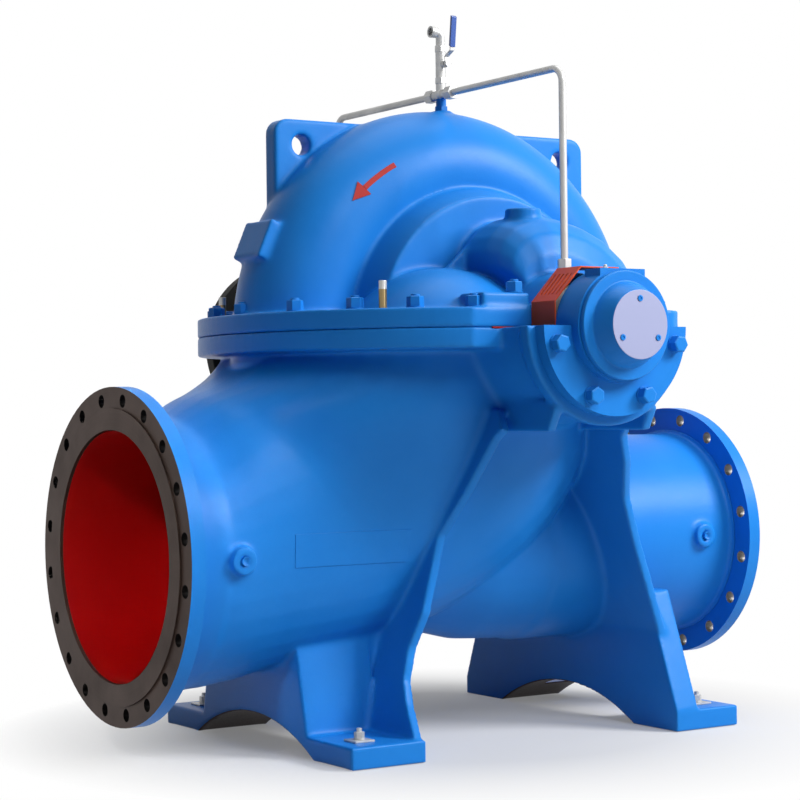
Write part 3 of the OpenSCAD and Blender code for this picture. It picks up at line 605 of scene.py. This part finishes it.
for end in ("front", "rear"):
    machined("bearing_housing_" + end, 0.003, blue_enamel, "casing_paint", steps=3)
    machined("bearing_cover_" + end, 0.0025, blue_enamel, "casing_paint", steps=3)
    machined("gland_" + end, 0.0015, shaft_steel, "bare_steel")
    machined("seal_guard_" + end, 0.0006, guard_orange, "guard_paint")
    machined("flush_pipe_" + end, 0.0008, pipe_steel, "stainless", angle=50)
machined("shaft", 0.0015, shaft_steel, "bare_steel", "rotor")
machined("coupling_hub", 0.003, coupling_black, "coupling", "rotor", steps=3)
machined("vent_nipple", 0.0012, blue_smooth, "casing_paint")
for node in ("ball_valve", "vent_elbow", "cross_nuts", "seal_nuts"):
    machined(node, 0.0010, pipe_steel, "stainless")
machined("valve_lever", 0.0006, pipe_steel, "stainless", "lever")
machined("lever_grip", 0.0016, grip_vinyl, "grip", "lever", steps=3)

# %% [markdown]
# Three pieces have two finishes. The lower arm of the pipe cross was painted together with the casing,
# each dowel pin has a bright cap on a brass shank, and a gauge plug has a socket in its face. A bisect
# draws the line between two finishes, and an inset with depth sinks the socket.


# %% Pieces with two finishes
def two_tone(piece, height, below, above):
    open_mesh(piece)
    bpy.ops.mesh.bisect(plane_co=(0, 0, height), plane_no=(0, 0, 1))
    close_mesh()
    middle, _ = face_facts(piece)
    paint_faces(piece, (above, None), (below, middle[:, 2] < height))


two_tone(machined("pipe_cross", 0.0010, pipe_steel, "stainless"), 1.356, blue_smooth, pipe_steel)
two_tone(machined("dowel_pins", 0.0012, pin_brass, "bare_steel"), 0.918, pin_brass, pipe_steel)
for node in ("suction_gauge_plug", "discharge_gauge_plug"):
    plug = machined(node, 0.0012, blue_smooth, "casing_paint")
    open_mesh(plug)
    choose_faces(plug, lambda middle, normal: normal.y < -0.99)
    bpy.ops.mesh.inset(thickness=0.0025, depth=-0.004)
    close_mesh()
print("two-tone pieces ready")

# %% [markdown]
# The end plate is a thin bright disc on the nose of the bearing cover. It starts as a short cylinder. An
# inset with a slight depth leaves a rim round its face, and a tiny bevel softens the edges. Its screws
# follow further down, with the other fasteners.

# %% End plate
PLATE_BACK, PLATE_FACE, SCREW_TOP = -0.6680, -0.6688, -0.6708
bpy.ops.mesh.primitive_cylinder_add(vertices=96, radius=0.0665, depth=PLATE_BACK - PLATE_FACE,
                                    location=(0, (PLATE_BACK + PLATE_FACE) / 2, SHAFT_HEIGHT),
                                    rotation=(math.pi / 2, 0, 0))
end_plate = bpy.context.object
end_plate.name = end_plate.data.name = "end_plate_disc"
settle(end_plate)
open_mesh(end_plate)
choose_faces(end_plate, lambda middle, normal: normal.y < -0.9)
bpy.ops.mesh.inset(thickness=0.0015, depth=0.0001)
close_mesh()
soft_edges(end_plate, 0.0002)
paint_faces(end_plate, (plate_silver, None))
dress(end_plate, "casing", "plate", "end_plate")
print("plate faces:", len(end_plate.data.polygons))

# %% [markdown]
# The halves are held together by studs with a washer and a hexagon nut. One stud set is modelled: a
# six-sided cylinder whose top corners are chamfered, on a washer, with the rounded end of the stud. It is
# then copied along the flange, and all copies are joined to one piece.


# %% Hexagon fasteners
def round_bar(radius, low, high, sides=24):
    bpy.ops.mesh.primitive_cylinder_add(vertices=sides, radius=radius, depth=high - low,
                                        location=(0, 0, (low + high) / 2))
    bar = bpy.context.object
    settle(bar)
    return bar


def hexagon(across, low, high):
    head = round_bar(across / math.sqrt(3), low, high, 6)
    open_mesh(head)
    choose_faces(head, lambda middle, normal: normal.z > 0.9)
    bpy.ops.mesh.inset(thickness=across * 0.09, depth=across * 0.05)
    close_mesh()
    soft_edges(head, across * 0.02, 2, 20)
    return head


def stud_set(name, across, rise):
    washer = round_bar(across * 0.60, 0, 0.003, 32)
    soft_edges(washer, 0.0006)
    nut = hexagon(across, 0.003, 0.003 + across * 0.62)
    end = round_bar(across * 0.30, 0.002, 0.003 + across * 0.67 + rise, 20)
    soft_edges(end, across * 0.06, 2, 40)
    return joined(name, washer, nut, end)


def placed_set(pattern, name, spots, finish, slot="casing_paint"):
    copies = []
    for place, tilt, spin in spots:
        copy = bpy.data.objects.new(name, pattern.data.copy())
        copy.location = place
        copy.rotation_euler = (tilt, 0, 0)
        copy.rotation_euler.rotate_axis("Z", spin)
        scene.collection.objects.link(copy)
        copies.append(copy)
    whole = joined(name, *copies)
    settle(whole)
    paint_faces(whole, (finish, None))
    dress(whole, "casing", slot)
    return whole


SPLIT_TOP, BOSS_TOP = 0.880, 0.909
row = [(-0.497, 0.0), (-0.468, 0.165), (-0.405, 0.290), (-0.322, 0.378), (-0.227, 0.440),
       (0.280, 0.383), (0.341, 0.288), (0.403, 0.193), (0.464, 0.098), (0.497, 0.0)]
split_spots = []
for number, (x, y) in enumerate(row):
    for along in ((1, -1) if y else (1,)):
        split_spots.append(((x, along * y, SPLIT_TOP), 0, 0.35 + 0.9 * number))
for x in (-0.132, 0.132):
    for y in (-0.442, 0.442):
        split_spots.append(((x, y, BOSS_TOP), 0, 0.6))
split_nut = stud_set("split_nut", 0.030, 0.004)
placed_set(split_nut, "split_flange_bolts", split_spots, blue_smooth)
bpy.data.objects.remove(split_nut)
print("split flange studs:", len(split_spots))

# %% [markdown]
# Each bearing housing is held to its bracket by four bolts below the shaft line, and each foot stands on
# two studs with thick square washers.

# %% Housing bolts and foot studs
FLANGE_FACE, BOLT_CIRCLE = 0.596, 0.149
bolt_head = hexagon(0.030, 0.003, 0.021)
bolt_washer = round_bar(0.0175, 0, 0.003, 32)
soft_edges(bolt_washer, 0.0006)
housing_bolt = joined("housing_bolt", bolt_head, bolt_washer)
housing_spots = []
for angle in (-13.5, -64.5, -115.5, -166.5):
    x = BOLT_CIRCLE * math.cos(math.radians(angle))
    z = SHAFT_HEIGHT + BOLT_CIRCLE * math.sin(math.radians(angle))
    housing_spots.append(((x, -FLANGE_FACE, z), math.pi / 2, 0.3 + angle))
    housing_spots.append(((x, FLANGE_FACE, z), -math.pi / 2, 0.3 + angle))
placed_set(housing_bolt, "housing_bolts", housing_spots, blue_smooth)
bpy.data.objects.remove(housing_bolt)

foot_nut = stud_set("foot_nut", 0.018, 0.007)
bpy.ops.mesh.primitive_cube_add(size=0.044, location=(0, 0, 0.002))
pad = bpy.context.object
pad.scale.z = 0.004 / 0.044
settle(pad)
soft_edges(pad, 0.0008)
foot_nut.location.z = 0.004
settle(foot_nut)
foot_nut = joined("foot_nut", foot_nut, pad)
foot_spots = [((x, y, 0.043), 0, 0.0) for x in (-0.427, 0.427) for y in (-0.322, 0.322)]
placed_set(foot_nut, "foot_studs", foot_spots, pipe_steel, "bare_steel")
bpy.data.objects.remove(foot_nut)
print("housing bolts:", len(housing_spots), "foot studs:", len(foot_spots))

# %% [markdown]
# The plate's three screws have low round heads with a hexagon socket. A head is a short cylinder with a
# wide bevel, and a six-sided cylinder cut out of it by a boolean makes the socket.

# %% Plate screws
screw = round_bar(0.0062, 0, PLATE_FACE - SCREW_TOP, 32)
soft_edges(screw, 0.0015, 3, 40)
socket = round_bar(0.0030, 0.0008, 0.01, 6)
cut = screw.modifiers.new("socket", "BOOLEAN")
cut.object, cut.operation = socket, "DIFFERENCE"
apply_modifiers(screw)
bpy.data.objects.remove(socket)
screw_spots = []
for angle in (90, 210, 330):
    x = 0.050 * math.cos(math.radians(angle))
    z = SHAFT_HEIGHT + 0.050 * math.sin(math.radians(angle))
    screw_spots.append(((x, PLATE_FACE, z), math.pi / 2, 0.2))
placed_set(screw, "plate_screws", screw_spots, blue_smooth)
bpy.data.objects.remove(screw)
print("plate screws:", len(screw_spots))

# %% [markdown]
# A grease nipple stands on the flat pad of each bearing housing: a small hexagon with a round head.

# %% Grease nipples
nipple_base = hexagon(0.010, 0, 0.004)
nipple_head = round_bar(0.0034, 0.003, 0.0095, 20)
soft_edges(nipple_head, 0.0018, 3, 40)
nipple = joined("nipple", nipple_base, nipple_head)
nipple_spots = [((-0.017, side * 0.585, 0.950), 0, 0.0) for side in (-1, 1)]
placed_set(nipple, "grease_nipples", nipple_spots, pipe_steel, "bare_steel")
bpy.data.objects.remove(nipple)
print("grease nipples:", len(nipple_spots))

# %% [markdown]
# Two forms lie on the castings: a raised blank panel on the suction chamber, and a red arrow on the
# volute that gives the direction of rotation. Both start as a flat net in front of the casting. A
# shrinkwrap lays the net on the curved wall, and solidify gives it its thickness.


# %% Panel and arrow on the castings
def lay_on(sheet, casting, thickness):
    _, normal = face_facts(sheet)
    if normal[:, 1].mean() > 0:
        open_mesh(sheet)
        bpy.ops.mesh.flip_normals()
        close_mesh()
    wrap = sheet.modifiers.new("wrap", "SHRINKWRAP")
    wrap.target, wrap.wrap_method = casting, "PROJECT"
    wrap.use_project_y, wrap.use_positive_direction, wrap.use_negative_direction = True, True, False
    wall = sheet.modifiers.new("wall", "SOLIDIFY")
    wall.thickness, wall.offset = thickness * 1.5, 0.33
    apply_modifiers(sheet)


PANEL_CENTRE, PANEL_LENGTH, PANEL_HEIGHT = (-0.407, -0.60, 0.4125), 0.256, 0.065
bpy.ops.mesh.primitive_grid_add(x_subdivisions=32, y_subdivisions=8, size=1, location=PANEL_CENTRE,
                                rotation=(math.pi / 2, 0, 0))
panel = bpy.context.object
panel.name = panel.data.name = "blank_panel"
panel.scale = (PANEL_LENGTH, PANEL_HEIGHT, 1)
settle(panel)
lay_on(panel, lower_casting, 0.0014)
soft_edges(panel, 0.0007, 2, 50)
paint_faces(panel, (blue_enamel, None))
dress(panel, "casing", "casing_paint")

ARROW_CENTRE, ARROW_RADIUS, ARROW_HALF = (-0.016, -0.30, 0.840), 0.396, 0.0053
TAIL_ANGLE, NECK_ANGLE, TIP_ANGLE = 118, 131.4, 137.0
HEAD_LENGTH, HEAD_HALF = 0.040, 0.0175
bpy.ops.mesh.primitive_circle_add(vertices=360, radius=ARROW_RADIUS - ARROW_HALF, location=ARROW_CENTRE,
                                  rotation=(math.pi / 2, 0, 0))
band = bpy.context.object
settle(band)
open_mesh(band)
bpy.ops.mesh.select_mode(type="VERT")
bpy.ops.mesh.select_all(action="DESELECT")
ring = bmesh.from_edit_mesh(band.data)
for vertex in ring.verts:
    angle = math.degrees(math.atan2(vertex.co.z - ARROW_CENTRE[2], vertex.co.x - ARROW_CENTRE[0]))
    vertex.select_set(not TAIL_ANGLE - 0.1 < angle < NECK_ANGLE + 0.1)
bmesh.update_edit_mesh(band.data)
bpy.ops.mesh.delete(type="VERT")
bpy.ops.mesh.select_all(action="SELECT")
bpy.ops.mesh.extrude_edges_move()
growth = (ARROW_RADIUS + ARROW_HALF) / (ARROW_RADIUS - ARROW_HALF)
bpy.ops.transform.resize(value=(growth, growth, growth), center_override=ARROW_CENTRE)
close_mesh()

bpy.ops.mesh.primitive_circle_add(vertices=3, radius=1, fill_type="NGON", rotation=(math.pi / 2, 0, 0))
head = bpy.context.object
head.scale = (HEAD_HALF / math.cos(math.radians(30)), HEAD_LENGTH / 1.5, 1)
settle(head)
open_mesh(head)
bpy.ops.mesh.quads_convert_to_tris()
bpy.ops.mesh.subdivide(number_cuts=4)
close_mesh()
middle_angle = math.radians(TIP_ANGLE) - HEAD_LENGTH * 2 / 3 / ARROW_RADIUS
head.location = (ARROW_CENTRE[0] + ARROW_RADIUS * math.cos(middle_angle), ARROW_CENTRE[1],
                 ARROW_CENTRE[2] + ARROW_RADIUS * math.sin(middle_angle))
head.rotation_euler = (0, -middle_angle, 0)
settle(head)
arrow = joined("rotation_arrow", band, head)
lay_on(arrow, upper_casting, 0.0026)
paint_faces(arrow, (arrow_red, None))
dress(arrow, "casing", "casing_paint")
print("panel and arrow faces:", len(panel.data.polygons), len(arrow.data.polygons))

# %% [markdown]
# Beside the seal, the red edge of the gasket shows between the two halves as a thin line.

# %% Gasket edge
bpy.ops.mesh.primitive_cube_add(size=1, location=(-0.1565, -0.4695, SHAFT_HEIGHT))
gasket = bpy.context.object
gasket.name = gasket.data.name = "gasket_edge"
gasket.scale = (0.097, 0.004, 0.003)
settle(gasket)
soft_edges(gasket, 0.0006)
paint_faces(gasket, (arrow_red, None))
dress(gasket, "casing", "casing_paint")
print("gasket edge laid")

# %% [markdown]
# The pump stands on a plain white floor in front of white. The floor is an ordinary white surface for the
# light, so it takes the shadow and throws some light back. The camera sees it brightened, more so
# further out, and it ends in the white of the room without an edge.


# %% Floor and world
def seen_rays(tree):
    rays = add(tree, "ShaderNodeLightPath")
    bent = math_node(tree, "MAXIMUM", rays.outputs["Is Glossy Ray"], rays.outputs["Is Transmission Ray"])
    return math_node(tree, "MAXIMUM", rays.outputs["Is Camera Ray"], bent)


def shader_choice(tree, factor, first, second, target):
    choice = add(tree, "ShaderNodeMixShader")
    tree.links.new(factor, choice.inputs[0])
    tree.links.new(first.outputs[0], choice.inputs[1])
    tree.links.new(second.outputs[0], choice.inputs[2])
    tree.links.new(choice.outputs[0], target)


bpy.ops.mesh.primitive_plane_add(size=40, location=(0, 0, -0.001))
floor = bpy.context.object
floor.name = floor.data.name = "studio_floor"
floor_white = bpy.data.materials.new("floor_white")
floor_white.use_nodes = True
tree = floor_white.node_tree
matt = tree.nodes["Principled BSDF"]
matt.inputs["Base Color"].default_value = (0.62, 0.62, 0.62, 1)
matt.inputs["Roughness"].default_value = 0.9
reach = add(tree, "ShaderNodeVectorMath", {"operation": "LENGTH"})
tree.links.new(add(tree, "ShaderNodeTexCoord").outputs["Object"], reach.inputs[0])
far = remap(tree, reach.outputs["Value"], 0.5, 1.0, 0.18, 1.0)
glow = add(tree, "ShaderNodeEmission")
shader_choice(tree, math_node(tree, "MULTIPLY", far, seen_rays(tree)), matt, glow,
              tree.nodes["Material Output"].inputs["Surface"])
floor.data.materials.append(floor_white)

world = bpy.data.worlds.new("studio_white")
scene.world = world
world.use_nodes = True
tree = world.node_tree
room = tree.nodes["Background"]
room.inputs["Color"].default_value, room.inputs["Strength"].default_value = (0.97, 0.98, 1.0, 1), 0.05
white = add(tree, "ShaderNodeBackground", Color=(1, 1, 1, 1), Strength=1.0)
shader_choice(tree, seen_rays(tree), room, white, tree.nodes["World Output"].inputs["Surface"])
print("floor and world ready")

# %% [markdown]
# The light is that of a plain studio: a large soft lamp from the front right, a weaker one high in front
# that fills the shadows, one overhead for the floor, and a faint one with a narrow spread that looks into
# the suction bore from the front left, so that the red paint shows on its far wall.


# %% Lamps
def softbox(name, place, aim, size, watts, spread=180):
    lamp = bpy.data.objects.new(name, bpy.data.lights.new(name, "AREA"))
    lamp.data.size, lamp.data.energy, lamp.data.spread = size, watts, math.radians(spread)
    lamp.location = place
    lamp.rotation_euler = (Vector(aim) - Vector(place)).to_track_quat("-Z", "Y").to_euler()
    scene.collection.objects.link(lamp)


softbox("front_right_lamp", (3.1, -3.5, 3.5), (0, 0, 0.6), 2.0, 335)
softbox("front_lamp", (0.2, -4.3, 4.2), (0, 0, 0.8), 2.0, 100)
softbox("overhead_lamp", (0.6, 0.2, 5.2), (0, 0, 0), 3.0, 66)
softbox("bore_lamp", (-3.6, -2.4, 3.0), (-0.68, 0.20, 0.28), 0.5, 1.0, 14)
